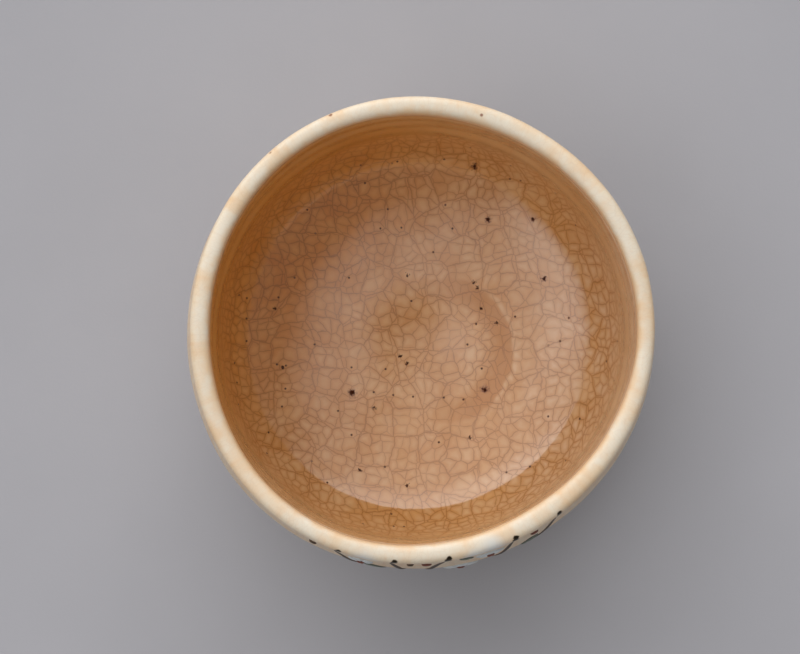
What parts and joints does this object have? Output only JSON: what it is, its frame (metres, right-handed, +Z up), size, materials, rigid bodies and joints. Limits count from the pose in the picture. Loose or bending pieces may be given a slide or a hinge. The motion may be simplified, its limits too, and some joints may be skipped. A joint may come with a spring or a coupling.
{
  "type": "tea bowl",
  "caption": "Hand-formed round tea bowl on a low foot ring, tan crackle glaze inside, cream crackle glaze outside and over the lip, with raised painted grasses and blossoms on one side.",
  "frame": {"origin": "centre of the foot ring on the table plane, under the middle of the bowl", "axes": "+Z up out of the mouth, -Y towards the painted side, +X to the right seen from the painted side"},
  "size_m": [0.1199, 0.1206, 0.0807],
  "materials": {
    "bare_clay": "unglazed fired clay, matt",
    "tan_glaze": "glossy tan crackle glaze with iron specks",
    "cream_glaze": "satin cream crackle glaze",
    "iron_brown": "iron-brown brush stroke",
    "white_slip": "raised bluish-white slip",
    "leaf_green": "raised grey-green enamel",
    "bud_red": "raised red-brown enamel"
  },
  "bodies": {
    "root": {"clay_body": "bare_clay", "foot_ring": "bare_clay", "inner_glaze": "tan_glaze", "outer_glaze": "cream_glaze", "grass_blade_1": "iron_brown", "grass_blade_2": "iron_brown", "grass_blade_3": "iron_brown", "grass_blade_4": "iron_brown", "grass_blade_5": "iron_brown", "blossom_1": "white_slip", "blossom_2": "white_slip", "blossom_3": "white_slip", "blossom_heart_1": "bud_red", "blossom_heart_2": "bud_red", "blossom_heart_3": "bud_red", "leaf_1": "leaf_green", "leaf_2": "leaf_green", "leaf_3": "leaf_green", "bud_1": "bud_red", "bud_2": "iron_brown", "bud_3": "bud_red", "bud_4": "iron_brown"}
  },
  "joints": []
}
